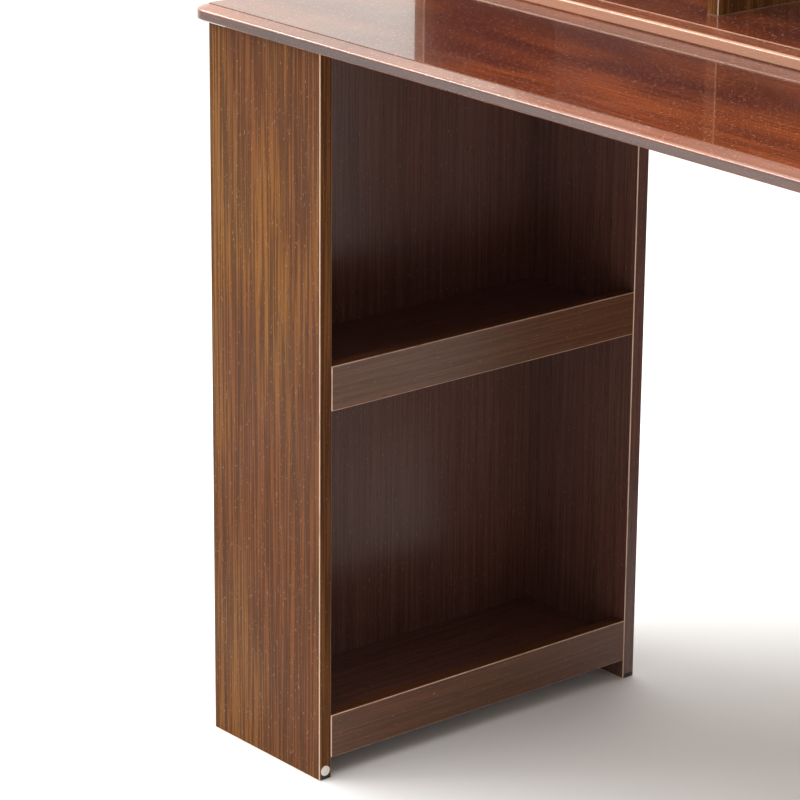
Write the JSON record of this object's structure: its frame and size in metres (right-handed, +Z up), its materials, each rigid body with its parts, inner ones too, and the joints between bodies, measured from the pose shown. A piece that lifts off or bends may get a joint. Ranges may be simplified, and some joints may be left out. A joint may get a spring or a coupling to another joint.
{
  "type": "corner desk",
  "caption": "Corner desk with a wedge-shaped moulded top, open bookcase pedestals facing the kneehole, and a full-width hutch whose back follows the two walls.",
  "frame": {"origin": "on the floor, under the middle of the whole desk's box", "axes": "+X along the straight front edge, from the sitter's left to right; +Y from the sitter towards the room's corner; +Z up"},
  "size_m": [1.28, 0.848, 1.42],
  "materials": {
    "polished_top_wood": "high-gloss mahogany lacquer",
    "carcass_wood": "satin mahogany with upright grain",
    "black_plastic": "moulded",
    "white_plastic": "moulded",
    "zinc": "zinc plated",
    "beech_dowel": "plain turned wood"
  },
  "bodies": {
    "root": {"angle_brackets": "zinc", "back_panel_nails": "zinc", "bracket_screws": "zinc", "cam_bolts": "zinc", "cam_locks": "zinc", "centre_hutch_back": "carcass_wood", "centre_hutch_shelf": "carcass_wood", "centre_shelf_rail": "carcass_wood", "centre_top_rail": "carcass_wood", "desktop": "polished_top_wood", "edge_caps": "white_plastic", "floor_glides": "black_plastic", "hutch_base": "polished_top_wood", "hutch_screws": "zinc", "hutch_top": "polished_top_wood", "knee_stretcher": "carcass_wood", "left_apron": "carcass_wood", "left_bottom_rail": "carcass_wood", "left_bottom_shelf": "carcass_wood", "left_front_side": "carcass_wood", "left_hutch_back": "carcass_wood", "left_hutch_divider": "carcass_wood", "left_hutch_end": "carcass_wood", "left_hutch_rail": "carcass_wood", "left_lower_hutch_shelf": "carcass_wood", "left_middle_rail": "carcass_wood", "left_middle_shelf": "carcass_wood", "left_pedestal_back": "carcass_wood", "left_rear_side": "carcass_wood", "left_upper_hutch_shelf": "carcass_wood", "rear_support": "carcass_wood", "right_apron": "carcass_wood", "right_bottom_rail": "carcass_wood", "right_bottom_shelf": "carcass_wood", "right_front_side": "carcass_wood", "right_hutch_back": "carcass_wood", "right_hutch_divider": "carcass_wood", "right_hutch_end": "carcass_wood", "right_hutch_rail": "carcass_wood", "right_lower_hutch_shelf": "carcass_wood", "right_middle_rail": "carcass_wood", "right_middle_shelf": "carcass_wood", "right_pedestal_back": "carcass_wood", "right_rear_side": "carcass_wood", "right_upper_hutch_shelf": "carcass_wood", "shelf_pins": "zinc", "wood_dowels": "beech_dowel"}
  },
  "joints": []
}
